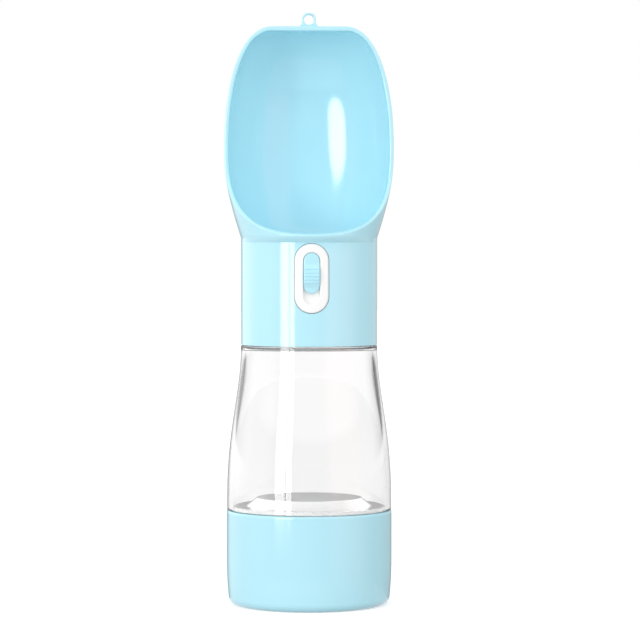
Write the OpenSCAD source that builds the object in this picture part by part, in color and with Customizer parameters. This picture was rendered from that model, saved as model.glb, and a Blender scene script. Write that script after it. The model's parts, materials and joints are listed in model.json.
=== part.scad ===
// Two-in-one travel water bottle for dogs: a food cup at the bottom, a clear water
// reservoir in the middle and a scoop-shaped drinking bowl on top. Pressing the button
// on the neck lifts a sprung valve, and water runs from the reservoir into the bowl.
// Millimetres. +Z is up, the bowl's opening and the button face -Y, and the origin is
// the centre of the foot.

/* [Food cup] */
// Largest outer radius of the food cup
cup_r = 36.3; // [36:0.1:37]
// Height of the food cup, up to the lower seam
cup_h = 41.6; // [41:0.1:42]
// Thickness of the food cup's wall
cup_wall = 2.5; // [2.3:0.1:2.6]
// Thickness of the food cup's floor
cup_floor = 2.2; // [1.6:0.1:3]
// Radius of the rounded lower edge
cup_edge_r = 4; // [3:0.5:5]

/* [Reservoir] */
// Outer radius of the clear reservoir at its foot
res_base_r = 36.1; // [35.8:0.1:36.3]
// Outer radius of the reservoir at the upper seam
res_top_r = 29.95; // [29.5:0.05:30.2]
// Height of the reservoir's shoulder
res_top_z = 113.9; // [113:0.1:115]
// Thickness of the reservoir's wall
res_wall = 2.2; // [1.8:0.1:2.4]
// Outer radius of the threaded mouth
mouth_r = 25; // [24.8:0.1:25]
// Height of the mouth's rim
mouth_z = 122.5; // [122.5:0.1:123]
// Radius of the raised plateau in the reservoir's floor, at its foot
plateau_r = 27.6; // [26:0.1:28]
// Height of the plateau above the floor
plateau_h = 4.4; // [3:0.1:6]

/* [Neck and bowl] */
// Outer radius of the neck
neck_r = 29.9; // [29.5:0.1:30.5]
// Thickness of the neck's wall
neck_wall = 2.2; // [2:0.1:2.2]
// Half of the bowl's largest width
bowl_half_w = 37.3; // [36:0.1:38]
// Height of the bowl's flat top
bowl_top_z = 254; // [250:0.5:256]
// Half of the width of the flat top
bowl_top_half_w = 15.5; // [13:0.5:18]
// How far the bowl's back lies behind the axis
bowl_back = 34.4; // [33:0.1:35]
// Thickness of the bowl's wall
bowl_wall = 1.8; // [1.6:0.1:2.2]
// How far the pouring lip stands proud of the neck
lip_out = 3.1; // [2:0.1:4]
// Height of the lip's edge
lip_z = 162.2; // [161.5:0.1:163]
// Height at which the rim turns upright
rim_turn_z = 190; // [185:1:195]

/* [Button and lock] */
// Width of the oval button
button_w = 14.8; // [14:0.1:15]
// Height of the oval button
button_h = 30; // [29.5:0.1:30]
// Height of the button's centre
button_z = 143.5; // [143.4:0.1:143.6]
// Width of the recess that the lock slides in
recess_w = 7.3; // [7:0.1:7.6]
// Height of that recess
recess_h = 22.3; // [22:0.1:22.6]
// Length of the lock's slider
slider_h = 17.6; // [17:0.1:17.8]
// How far the button travels inwards
press = 2.5; // [2:0.1:2.5]

/* [Screw threads] */
// Height gained in one full turn
lead = 8; // [7:0.5:8]
// Number of thread starts
starts = 2; // [2:1:2]

/* [Hanging eye] */
// Radius of the hole in the hanging eye
eye_bore_r = 2.2; // [1.8:0.1:2.4]
// Height of the eye's top, which is the height of the whole bottle
total_h = 260; // [259:0.5:262]

/* [Hidden] */
$fn = 96;

blue = [0.72, 0.93, 0.98];
white = [0.98, 0.98, 0.97];
clear = [0.93, 0.96, 0.97, 0.45];
milky = [0.95, 0.95, 0.95, 0.8];
silicone = [0.9, 0.92, 0.93];
steel = [0.75, 0.76, 0.78];

seam = 0.3;          // the gap that shows as a dark line between two stacked parts
fit = 0.05;          // a close fit inside one assembly
run = 0.08;          // running clearance of a sliding rod

// Threads: the ridge is a trapezium, wider at its root than at its crest.
ridge_root = 1.6;
ridge_crest = 0.9;
ridge_depth = 0.9;
ridge_embed = 0.3;
cup_thread_turns = 0.6;
mouth_thread_turns = 0.5;
steps_per_turn = 40;
flank_offset = 1.4;  // how far a mating ridge lies above or below its partner

cup_in_r = cup_r - cup_wall;
skirt_r = cup_in_r - 1.4;            // the floor's threaded skirt, inside the cup
skirt_wall = 2.2;
skirt_z = cup_h - 10.6;
floor_z = cup_h + seam;              // where the clear wall stands on the floor's flange
floor_top_z = floor_z + 1.5;
skirt_top_z = floor_z - 0.5;
flange_r = res_base_r - res_wall - fit;

neck_z = res_top_z + seam;
neck_in_r = neck_r - neck_wall;
housing_r = neck_in_r - fit;
housing_in_r = mouth_r + 1.4;
housing_z = neck_z + 0.8;
plate_z = mouth_z + 2.3;
plate_top_z = plate_z + 2.5;
mouth_thread_z = res_top_z + 3.4;
ceiling_z = 157.6;                   // underside of the bowl's floor
bowl_floor_z = ceiling_z + 2;

valve_y = 4;                         // the valve's axis stands a little behind the neck's
seat_r = 5.5;
tube_r = 11;
tube_in_r = 9;
tube_top_z = 156;
seat_top_z = plate_top_z + 1.2;
plug_r = 7;
stem_r = 1.6;
pin_r = 1;
pin_z = 147;
pin_half = 4.6;
collar_z = 148.6;
stem_top_z = 158.4;

rod_r = 2.5;
button_face_r = 30.6;                // the button's face is curved like the neck
recess_y = -28.3;
button_floor_y = -26.7;
button_back_y = -24;
flange_back_y = -22.6;
guide_y = flange_back_y + press + 3.6;   // leaves room for the closed spring
guide_t = 2;
bush_y = -9.4;
post_dz = 11.3;

slider_z = button_z + recess_h / 2 - fit - slider_h / 2;
lock_travel = recess_h - slider_h - 2 * fit;
screw_ring_r = 18.5;

// ---------------------------------------------------------------- shared shapes

// An oval with straight sides, w wide and h tall, in the plane.
module stadium(w, h) {
    for (s = [-1, 1]) translate([0, s * (h - w) / 2]) circle(d = w);
    square([w, h - w], center = true);
}

// Extrudes a drawing of the front view from y0 back to y1.
module along_y(y0, y1, z = 0) {
    translate([0, y1, z]) rotate([90, 0, 0]) linear_extrude(y1 - y0) children();
}

// Extrudes a drawing of the side view (y, z) over the width from x0 to x1.
module along_x(x0, x1) {
    translate([x0, 0, 0]) rotate([90, 0, 90]) linear_extrude(x1 - x0) children();
}

// A rod along Y.
module rod_y(r, y0, y1, z) {
    translate([0, y0, z]) rotate([-90, 0, 0]) cylinder(r = r, h = y1 - y0);
}

// A ring standing at height z0, from r0 to r1.
module ring(r0, r1, z0, z1) {
    translate([0, 0, z0]) difference() {
        cylinder(r = r1, h = z1 - z0);
        translate([0, 0, -1]) cylinder(r = r0, h = z1 - z0 + 2);
    }
}

// Faces of a tube swept through n + 1 rings of m points, closed at both ends.
function sweep_faces(n, m, turned) = [
    for (f = concat(
        [[for (j = [0:m - 1]) m - 1 - j]],
        [[for (j = [0:m - 1]) n * m + j]],
        [for (i = [0:n - 1], j = [0:m - 1]) let (k = (j + 1) % m)
            each [[i * m + j, i * m + k, (i + 1) * m + k],
                  [i * m + j, (i + 1) * m + k, (i + 1) * m + j]]]))
    turned ? [for (q = [len(f) - 1:-1:0]) f[q]] : f
];

// Right-hand ridges winding up a wall. A crest beyond the root stands outwards, and one
// inside it stands inwards. The ridge fades at both ends.
module thread(root, crest, z0, turns) {
    n = ceil(turns * steps_per_turn);
    s = crest > root ? 1 : -1;
    fade = 3;
    for (k = [0:starts - 1])
        polyhedron(
            points = [for (i = [0:n])
                let (a = 360 * (turns * i / n + k / starts),
                     z = z0 + lead * turns * i / n,
                     rise = min(1, 0.15 + min(i, n - i) / fade),
                     c = root + (crest - root) * rise,
                     e = root - s * ridge_embed)
                for (p = [[e, -ridge_root / 2], [c, -ridge_crest / 2],
                          [c, ridge_crest / 2], [e, ridge_root / 2]])
                    [p[0] * cos(a), p[0] * sin(a), z + p[1]]],
            faces = sweep_faces(n, 4, s < 0),
            convexity = 6);
}

// A compression spring along Z with closed ends, of a round wire.
module spring(r, wire, h, turns) {
    rings_per_turn = 16;
    m = 8;
    n = turns * rings_per_turn;
    polyhedron(
        points = [for (i = [0:n])
            let (a = 360 * i / rings_per_turn,
                 u = i / n,
                 ends = 0.12,
                 v = u < ends ? 0 : u > 1 - ends ? 1 : (u - ends) / (1 - 2 * ends),
                 z = wire / 2 + (h - wire) * (0.16 * u + 0.84 * v))
            for (j = [0:m - 1]) let (b = 360 * j / m)
                [(r + wire / 2 * cos(b)) * cos(a), (r + wire / 2 * cos(b)) * sin(a),
                 z + wire / 2 * sin(b)]],
        faces = sweep_faces(n, m, false),
        convexity = 8);
}

// ---------------------------------------------------------------- food cup

// Outer radius of the cup: it swells slightly from the rounded edge to mid height.
function cup_outer(z) = cup_r - 0.8 * pow(max(0, 20 - z) / 16, 2);

foot_in_r = 25;
foot_h = 1.2;
cup_in_z = foot_h + cup_floor;
in_edge_r = 5;       // the fillet between the cup's floor and its wall
join_a = 53;         // the floor meets the wall this far round the fillet
function in_edge(a) = [cup_in_r - 0.8 - in_edge_r * (1 - cos(a)),
                       cup_in_z + in_edge_r * (1 - sin(a))];

// The wall and the floor are one moulding. They are two nodes here, so that each is a
// simple shape and the cup stays open.
module food_cup() color(blue) {
    edge_c = cup_outer(cup_edge_r) - cup_edge_r;
    rotate_extrude() polygon(concat(
        [[in_edge(join_a)[0], 0], [edge_c, 0]],
        [for (a = [10:10:90]) [edge_c + cup_edge_r * sin(a), cup_edge_r * (1 - cos(a))]],
        [for (z = [8:4:20]) [cup_outer(z), z]],
        [[cup_r - 0.1, cup_h - 0.4], [cup_r - 0.5, cup_h],
         [cup_in_r + 0.4, cup_h], [cup_in_r, cup_h - 0.6]],
        [[cup_in_r, 22]],
        [for (a = [0:join_a / 4:join_a]) in_edge(a)]));
    thread(cup_in_r, cup_in_r - ridge_depth, skirt_z + 1.6 + flank_offset, cup_thread_turns);
}

// The cup's floor, raised a little inside its foot ring.
module cup_floor() color(blue)
    rotate_extrude() polygon(concat(
        [[0, foot_h], [foot_in_r - 1, foot_h], [foot_in_r, 0], [in_edge(join_a)[0], 0]],
        [for (i = [0:3]) in_edge(join_a + (90 - join_a) * i / 3)],
        [[0, cup_in_z]]));

// Sealing ring round the root of the reservoir's lower thread.
module food_gasket() color(silicone)
    ring(skirt_r + 0.15, cup_in_r - 0.15, cup_h - 1.7, floor_z - fit);

// ---------------------------------------------------------------- reservoir

// Outer radius of the clear wall: a soft S from the foot to the shoulder.
function res_outer(z) =
    let (u = max(0, min(1, (z - 44) / (res_top_z - 43.9))))
    res_top_r + (res_base_r - res_top_r) * (1 + cos(180 * pow(u, 1.25))) / 2;

module reservoir_wall() color(clear) {
    z_list = [for (z = [48:4:108]) z];
    shoulder = res_top_z - res_wall;
    rotate_extrude() polygon(concat(
        [[res_base_r - res_wall, floor_z], [res_base_r, floor_z]],
        [for (z = z_list) [res_outer(z), z]],
        [[res_top_r, res_top_z - 0.4], [res_top_r - 0.4, res_top_z],
         [mouth_r, res_top_z], [mouth_r, mouth_z - 0.5], [mouth_r - 0.5, mouth_z],
         [mouth_r - 2.5, mouth_z], [mouth_r - 2.5, shoulder - 1.5],
         [mouth_r - 1, shoulder - 2.2]],
        [for (i = [len(z_list) - 1:-1:0]) [res_outer(z_list[i]) - res_wall, z_list[i]]]));
    thread(mouth_r, mouth_r + ridge_depth, mouth_thread_z, mouth_thread_turns);
}

// The floor is moulded apart, because the wall's core leaves downwards, and welded in.
// Its plateau is hollow underneath.
module reservoir_floor() color(milky) {
    top_r = plateau_r - 4.1;
    t = 2;
    plateau_z = floor_top_z + plateau_h;
    rotate_extrude() polygon([
        [0, plateau_z], [top_r - 0.6, plateau_z], [top_r, plateau_z - 0.5],
        [plateau_r, floor_top_z], [flange_r, floor_top_z], [flange_r, floor_z],
        [skirt_r, floor_z], [skirt_r, skirt_top_z], [plateau_r - 1, skirt_top_z],
        [top_r - 1, plateau_z - t], [0, plateau_z - t]]);
}

// Hangs from the floor, in one moulding with it, and carries the food cup's thread.
module thread_skirt() color(milky) {
    rotate_extrude() polygon([
        [skirt_r, skirt_top_z], [skirt_r - skirt_wall, skirt_top_z],
        [skirt_r - skirt_wall, skirt_z], [skirt_r - 0.5, skirt_z], [skirt_r, skirt_z + 0.5]]);
    thread(skirt_r, skirt_r + ridge_depth, skirt_z + 1.6, cup_thread_turns);
}

// Flat ring between the mouth's rim and the valve housing.
module mouth_gasket() color(silicone)
    ring(mouth_r - 2.7, mouth_r + 0.5, mouth_z + fit, plate_z - fit);

// ---------------------------------------------------------------- bowl and neck

ring_n = 64;
swell_z0 = 161;      // the bowl starts to swell here
side_z = 198;        // its sides are widest here
back_z = 208;        // and its back is deepest here

function swell(z, z1) = sin(90 * max(0, min(1, (z - swell_z0) / (z1 - swell_z0))));
function close_up(z, z1, p, q) = pow(1 - pow(max(0, (z - z1) / (bowl_top_z - z1)), p), q);

// Half width, depth behind the axis and depth in front of it at height z.
function half_w(z) = z < side_z + 2
    ? neck_r + (bowl_half_w - neck_r) * swell(z, side_z)
    : bowl_top_half_w + (bowl_half_w - bowl_top_half_w) * close_up(z, side_z + 2, 2.2, 0.45);
top_d = 9;
function back_d(z) = z < back_z
    ? neck_r + (bowl_back - neck_r) * swell(z, back_z)
    : top_d + (bowl_back - top_d) * close_up(z, back_z, 3, 0.5);
lip_z0 = 159;        // the lip begins just above the button's hole
function front_d(z) = neck_r + lip_out * sin(90 * max(0, min(1, (z - lip_z0) / (lip_z - lip_z0))));

// One outline of the bowl at height z, drawn in by inset: half an ellipse behind the axis
// and half of another one in front.
function outline(z, inset) = [
    for (i = [0:ring_n - 1])
        let (a = 360 * i / ring_n,
             d = (sin(a) > 0 ? back_d(z) : front_d(z)) - inset)
        [(half_w(z) - inset) * cos(a), d * sin(a), z]];

// Each outline is convex, so the hull of two neighbours is the slice between them.
module loft(zs, insets) {
    for (i = [0:len(zs) - 2])
        hull() polyhedron(
            points = concat(outline(zs[i], insets[i]), outline(zs[i + 1], insets[i + 1])),
            faces = sweep_faces(1, ring_n, true));
}

outer_zs = concat([ceiling_z, lip_z0, 159.6, 160.5, 161.3, lip_z + 0.4, 164, 167],
    [for (z = [171:5:246]) z], [249, 251.2, 252.7, 253.6, bowl_top_z]);

// The hollow is drawn in at its floor and its ceiling by quarter-round fillets.
hollow_fillet = 8.4;
hollow_top_z = bowl_top_z - 2;
function hollow_inset(z) =
    let (f = max(0, (bowl_floor_z + hollow_fillet - z) / hollow_fillet),
         g = max(0, (z - hollow_top_z + 6) / 6))
    bowl_wall + 8 * (1 - sqrt(max(0, 1 - f * f))) + 3 * (1 - sqrt(max(0, 1 - g * g)));
hollow_zs = concat([bowl_floor_z, 159.9, 160.5, 161.3, lip_z + 0.4, 164, 167],
    [for (z = [171:5:246]) z], [248.5, 250, 251.2, hollow_top_z]);

// The side view of what is cut away in front of the rim: a quarter ellipse from the lip
// back to the axis, then straight up.
module rim_cut() {
    reach = neck_r + lip_out;
    along_x(-60, 60) polygon(concat(
        [for (a = [0:6:90])
            [-reach * (1 - sin(a)), rim_turn_z - (rim_turn_z - lip_z) * cos(a)]],
        [[0, total_h + 5], [-70, total_h + 5], [-70, lip_z]]));
}

// The scoop itself, from the underside of its floor up. The neck and the ribs below it
// are parts of the same moulding, and nodes of their own.
module scoop_bowl() color(blue) difference() {
    loft(outer_zs, [for (z = outer_zs) 0]);
    loft(hollow_zs, [for (z = hollow_zs) hollow_inset(z)]);
    rim_cut();
    button_hole();
    translate([0, valve_y, ceiling_z - 1]) cylinder(r = 5, h = 5, $fn = 48);
}

// The oval hole that the button moves in.
module button_hole() {
    gap = 0.3;
    along_y(-45, 0, button_z) stadium(button_w + 2 * gap, button_h + 2 * gap);
}

module neck_shell() color(blue) difference() {
    ring(neck_in_r, neck_r, neck_z, ceiling_z);
    button_hole();
}

module at_screws() {
    for (a = [90, 210, 330]) rotate(a) translate([screw_ring_r, 0, 0]) children();
}

// Bosses under the bowl's floor for the housing's screws, each with a web to the wall.
module screw_bosses() {
    web_z = plate_top_z + 3;
    boss_z = plate_top_z + 0.1;
    top_z = ceiling_z - fit;
    at_screws() difference() {
        union() {
            translate([0, 0, boss_z]) cylinder(r = 3, h = top_z - boss_z);
            translate([0, -0.7, web_z])
                cube([neck_in_r - screw_ring_r - 2 * fit, 1.4, top_z - web_z]);
        }
        translate([0, 0, plate_top_z - 1]) cylinder(r = 1.3, h = 10);
    }
}

// Two pairs of rails inside the neck, which the button's guide drops into.
module guide_rails() {
    rail_x = 18.6;
    rail_z = plate_top_z + 1.5;
    for (x = [rail_x, -neck_r], y = [guide_y - 1.5, guide_y + guide_t + 0.2])
        intersection() {
            translate([x, y, rail_z]) cube([neck_r - rail_x, 1.3, ceiling_z - fit - rail_z]);
            cylinder(r = neck_in_r - fit, h = ceiling_z);
        }
}

// All that stands inside the neck. The webs of the front bosses run into the rails.
module neck_ribs() color(blue) {
    screw_bosses();
    guide_rails();
}

// The eye for a cord or clip, moulded on the top of the bowl.
module hanging_eye() color(blue) {
    eye_r = 3.05;
    eye_t = 2.4;
    eye_y = 1.6;
    bore_z = total_h - eye_r;
    root = 0.6;
    difference() {
        union() {
            rod_y(eye_r, eye_y, eye_y + eye_t, bore_z);
            along_y(eye_y, eye_y + eye_t)
                polygon([[-5.2, bowl_top_z - root], [-5.2, bowl_top_z],
                         [-3.7, bowl_top_z + 0.7], [-2.7, bore_z], [2.7, bore_z],
                         [3.7, bowl_top_z + 0.7], [5.2, bowl_top_z],
                         [5.2, bowl_top_z - root]]);
        }
        rod_y(eye_bore_r, eye_y - 1, eye_y + eye_t + 1, bore_z);
    }
}

// ---------------------------------------------------------------- valve housing

// Screws up into the neck. Its skirt takes the reservoir's mouth, and its tube leads
// the water past the valve to the bowl.
module valve_housing() color(white) {
    difference() {
        union() {
            translate([0, 0, housing_z]) cylinder(r = housing_r, h = plate_top_z - housing_z);
            translate([0, valve_y, plate_top_z]) cylinder(r = tube_r, h = tube_top_z - plate_top_z);
            rod_y(6, bush_y, valve_y, button_z);
        }
        translate([0, 0, housing_z - 1]) cylinder(r = housing_in_r, h = plate_z - housing_z + 1);
        translate([0, valve_y, plate_z - 1]) cylinder(r = seat_r, h = seat_top_z - plate_z);
        translate([0, valve_y, plate_top_z]) cylinder(r = tube_in_r, h = tube_top_z);
        rod_y(4.45, bush_y - 1, valve_y, button_z);
        at_screws() translate([0, 0, plate_z - 1]) cylinder(r = 1.4, h = 6, $fn = 32);
    }
    thread(housing_in_r, housing_in_r - ridge_depth, mouth_thread_z - flank_offset,
           mouth_thread_turns);
}

module housing_screws() color(steel)
    at_screws() {
        difference() {
            translate([0, 0, plate_z - 1.6]) cylinder(r = 2.4, h = 1.55, $fn = 32);
            for (a = [0, 90]) rotate(a)
                translate([-1.5, -0.3, plate_z - 2]) cube([3, 0.6, 1.2]);
        }
        translate([0, 0, plate_z - fit]) cylinder(r = 1.25, h = 10, $fn = 32);
    }

module valve_seat() color(silicone)
    translate([0, valve_y, 0]) ring(seat_r, tube_in_r - 0.1, plate_top_z, seat_top_z);

module outlet_seal() color(silicone)
    translate([0, valve_y, 0]) ring(tube_in_r - 0.3, tube_r, tube_top_z, ceiling_z - fit);

// Spider at the top of the tube: it holds the stem upright and lets the water past.
module stem_guide() color(white)
    translate([0, valve_y, tube_top_z - 2.4]) difference() {
        cylinder(r = tube_in_r - fit, h = 2.4);
        for (a = [45, 165, 285]) rotate(a)
            rotate_extrude(angle = 90) translate([3.2, -1]) square([4.2, 4.4]);
        translate([0, 0, -1]) cylinder(r = stem_r + fit, h = 5);
    }

module rod_bush() color(white) difference() {
    union() {
        rod_y(4.4, bush_y, bush_y + 4.6, button_z);
        rod_y(5.6, bush_y - 1.2, bush_y, button_z);
    }
    rod_y(rod_r + run, bush_y - 3, bush_y + 8, button_z);
}

module rod_seal() color(silicone) difference() {
    rod_y(4.7, bush_y - 2.9, bush_y - 1.2, button_z);
    rod_y(rod_r + run, bush_y - 4, bush_y, button_z);
}

// Plate across the neck behind the button: it guides the push rod and backs its spring.
module button_guide() color(white) {
    half = 21.6;
    difference() {
        union() {
            translate([-half, guide_y, plate_top_z + 0.3])
                cube([2 * half, guide_t, ceiling_z - plate_top_z - 0.6]);
            rod_y(3.3, guide_y - 3, guide_y, button_z);
        }
        rod_y(rod_r + run, guide_y - 4, guide_y + guide_t + 1, button_z);
        for (s = [-1, 1])
            translate([s * 13 - 3.5, guide_y - 1, plate_top_z + 6]) cube([7, 4, 18]);
    }
}

// ---------------------------------------------------------------- button and lock

module button() color(white) {
    intersection() {
        difference() {
            along_y(-33, button_back_y, button_z) stadium(button_w, button_h);
            along_y(-34, recess_y, button_z) stadium(recess_w, recess_h);
            difference() {
                along_y(button_floor_y, button_back_y + 1, button_z) stadium(11, 26);
                for (s = [-1, 1]) rod_y(2.2, -30, -20, button_z + s * post_dz);
            }
            translate([-1.7, -30, slider_z - 2.3 - lock_travel])
                cube([3.4, 5, 4.6 + lock_travel]);
            for (s = [-1, 1]) rod_y(1.05, button_floor_y, -20, button_z + s * post_dz);
        }
        cylinder(r = button_face_r, h = 200);
    }
    for (s = [-1, 1])
        translate([s * 8.25 - 0.95, button_back_y - 1.9, button_z - 11.5]) cube([1.9, 1.9, 23]);
}

module push_rod() color(white) difference() {
    union() {
        along_y(button_back_y, flange_back_y, button_z) stadium(13.6, 28.6);
        rod_y(rod_r, flange_back_y, -1.7, button_z);
    }
    for (s = [-1, 1]) rod_y(1.1, -26, -20, button_z + s * post_dz);
}

// Fork on the rod's end. Its two 45 degree ramps pass under the valve's cross pin.
module lift_fork() color(white) {
    front_y = -3.4;
    ramp_sum = valve_y + pin_z - (pin_r + fit) * sqrt(2);   // y + z along the ramp
    prong_end_y = 8;
    low_z = 141;
    prong_in = 3.3;
    prong_out = 4.6;
    for (s = [-1, 1])
        along_x(s > 0 ? prong_in : -prong_out, s > 0 ? prong_out : -prong_in)
            polygon([[front_y, low_z], [prong_end_y, low_z],
                     [prong_end_y, ramp_sum - prong_end_y], [0.6, ramp_sum - 0.6],
                     [front_y, ramp_sum - 0.6]]);
    difference() {
        translate([-prong_out, front_y, low_z - 0.4]) cube([2 * prong_out, 1.8, 5.9]);
        rod_y(rod_r + 0.02, -5, 5, button_z);
    }
}

module button_screws() color(steel)
    for (s = [-1, 1]) {
        rod_y(1, button_floor_y + 0.4, flange_back_y + 0.3, button_z + s * post_dz);
        difference() {
            rod_y(1.9, flange_back_y + fit, flange_back_y + 1.2, button_z + s * post_dz);
            translate([-1.2, flange_back_y + 0.6, button_z + s * post_dz - 0.25])
                cube([2.4, 2, 0.5]);
        }
    }

module button_spring() color(steel)
    translate([0, flange_back_y + fit, button_z]) rotate([-90, 0, 0])
        spring(4.2, 0.7, guide_y - flange_back_y - 2 * fit, 4);

// The lock slides in the button's recess. Its grip is a ribbed hump.
module lock_slider() color(blue) {
    w = recess_w - 0.3;
    hump_z = slider_z - 1.2;
    hump_r = 8;
    neck_w = 2.8;
    neck_h = 4;
    intersection() {
        along_y(-34, recess_y - fit, slider_z) stadium(w, slider_h);
        union() {
            cylinder(r = button_face_r - 0.3, h = 200);
            translate([-5, -32 + hump_r, hump_z]) rotate([0, 90, 0]) cylinder(r = hump_r, h = 10);
            for (i = [-2:2])
                translate([-5, -32 + hump_r * (1 - cos(asin(i * 1.5 / hump_r))), hump_z + i * 1.5])
                    rotate([0, 90, 0]) cylinder(r = 0.3, h = 10, $fn = 24);
        }
    }
    translate([-neck_w / 2, recess_y - 0.5, slider_z - neck_h / 2])
        cube([neck_w, 3.2, neck_h]);
}

// Snaps on the slider's neck behind the button's floor and holds the slider in.
module lock_clip() color(white) difference() {
    translate([-4.6, button_floor_y + 0.1, slider_z - 5]) cube([9.2, 1.4, 10]);
    translate([-1.45, button_floor_y - 1, slider_z - 2.05]) cube([2.9, 4, 4.1]);
}

// ---------------------------------------------------------------- valve

module valve_stem() color(white)
    translate([0, valve_y, 0]) difference() {
        union() {
            translate([0, 0, seat_top_z + 1]) cylinder(r = stem_r, h = stem_top_z - seat_top_z - 1);
            translate([0, 0, collar_z]) cylinder(r = 3.2, h = 1);
        }
        translate([-5, 0, pin_z]) rotate([0, 90, 0]) cylinder(r = pin_r + 0.02, h = 10);
    }

module valve_plug() color(silicone)
    translate([0, valve_y, 0]) difference() {
        rotate_extrude() polygon([
            [0, seat_top_z + fit], [plug_r - 0.3, seat_top_z + fit], [plug_r, seat_top_z + 0.4],
            [plug_r, seat_top_z + 1.3], [plug_r - 0.6, seat_top_z + 1.8],
            [3.4, seat_top_z + 2.6], [0, seat_top_z + 2.6]]);
        translate([0, 0, seat_top_z + 0.98]) cylinder(r = stem_r + 0.02, h = 5);
    }

module cross_pin() color(steel)
    translate([-pin_half, valve_y, pin_z]) rotate([0, 90, 0]) cylinder(r = pin_r, h = 2 * pin_half);

module valve_spring() color(steel)
    translate([0, valve_y, collar_z + 1 + fit])
        spring(2.4, 0.6, tube_top_z - 2.4 - collar_z - 1 - 2 * fit, 4);

food_cup();
cup_floor();
food_gasket();
reservoir_wall();
reservoir_floor();
thread_skirt();
mouth_gasket();
scoop_bowl();
neck_shell();
neck_ribs();
hanging_eye();
valve_housing();
housing_screws();
valve_seat();
outlet_seal();
stem_guide();
rod_bush();
rod_seal();
button_guide();
button();
push_rod();
lift_fork();
button_screws();
button_spring();
lock_slider();
lock_clip();
valve_stem();
valve_plug();
cross_pin();
valve_spring();
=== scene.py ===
# %% [markdown]
# # A two-in-one travel water bottle for dogs
# The bottle stands upright: a pale blue food cup, a clear water reservoir and a blue
# scoop that opens towards the viewer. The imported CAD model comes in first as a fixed
# frame. Everything that shows is then drawn again as a fine surface in the same place,
# because CAD edges are sharp and mouldings have soft ones.

import json
import math

import bmesh
import bpy
import numpy as np
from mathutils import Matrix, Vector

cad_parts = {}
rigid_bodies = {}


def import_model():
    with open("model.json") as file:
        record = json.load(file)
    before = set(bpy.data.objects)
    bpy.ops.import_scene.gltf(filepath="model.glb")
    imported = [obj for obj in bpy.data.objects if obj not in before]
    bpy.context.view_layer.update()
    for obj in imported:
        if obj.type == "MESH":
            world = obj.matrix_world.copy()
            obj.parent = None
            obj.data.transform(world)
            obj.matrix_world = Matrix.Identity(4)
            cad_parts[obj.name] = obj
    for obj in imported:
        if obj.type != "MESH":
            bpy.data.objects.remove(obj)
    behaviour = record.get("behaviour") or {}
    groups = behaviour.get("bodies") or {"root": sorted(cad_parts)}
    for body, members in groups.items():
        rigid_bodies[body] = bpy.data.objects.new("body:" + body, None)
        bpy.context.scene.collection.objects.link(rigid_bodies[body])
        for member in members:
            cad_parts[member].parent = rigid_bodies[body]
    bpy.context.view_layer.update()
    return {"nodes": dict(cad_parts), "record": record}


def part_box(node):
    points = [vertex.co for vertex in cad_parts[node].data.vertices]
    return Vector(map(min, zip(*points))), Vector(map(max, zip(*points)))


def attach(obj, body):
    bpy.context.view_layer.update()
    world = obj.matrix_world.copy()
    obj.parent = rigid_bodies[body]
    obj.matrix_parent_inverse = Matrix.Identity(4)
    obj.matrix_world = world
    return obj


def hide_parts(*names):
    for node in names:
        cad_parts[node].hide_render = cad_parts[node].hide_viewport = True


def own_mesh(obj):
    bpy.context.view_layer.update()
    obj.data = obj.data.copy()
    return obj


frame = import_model()
scene = bpy.context.scene
for leftover in [o for o in scene.objects if o.name in ("Cube", "Light", "Camera")]:
    bpy.data.objects.remove(leftover)

# %% [markdown]
# ## The camera
# The photograph was taken from straight ahead, a little above the middle and with a long
# lens, so the sides hardly converge. The seams' curves give the height of the camera:
# the lower seam bends down in front, and the upper one is nearly straight.

# %% Camera
# lens and sensor in millimetres, place in metres, tilt and turn in degrees
SENSOR_W, LENS = 36.0, 153.4
CAMERA_AT, CAMERA_TILT, CAMERA_TURN = (-0.044, -1.199, 0.1545), 88.59, -2.33
scene.view_settings.view_transform = "Standard"
camera_data = bpy.data.cameras.new("camera")
camera_data.sensor_width = SENSOR_W
camera_data.lens = LENS
camera = bpy.data.objects.new("camera", camera_data)
camera.location = CAMERA_AT
camera.rotation_euler = (math.radians(CAMERA_TILT), 0.0, math.radians(CAMERA_TURN))
scene.collection.objects.link(camera)
scene.camera = camera

# %% [markdown]
# ## Helpers for surfaces
# Each surface is a grid: one index runs along a section and the other carries it round or
# up the object. The grid's points come from a formula, as whole arrays, and neighbouring
# points make the faces. Several grids can share one mesh, and points that coincide are
# merged, which closes seams and poles.

# %% Mesh helpers
MM = 0.001


def grid_faces(rows, columns, start=0, closed=False):
    """Quads of a grid: corner, next column, next column of the next row, next row."""
    last = columns if closed else columns - 1
    i, j = np.meshgrid(np.arange(rows - 1), np.arange(last), indexing="ij")
    k = (j + 1) % columns
    quads = np.stack(
        [i * columns + j, i * columns + k, (i + 1) * columns + k, (i + 1) * columns + j],
        axis=-1,
    )
    return quads.reshape(-1, 4) + start


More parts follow.
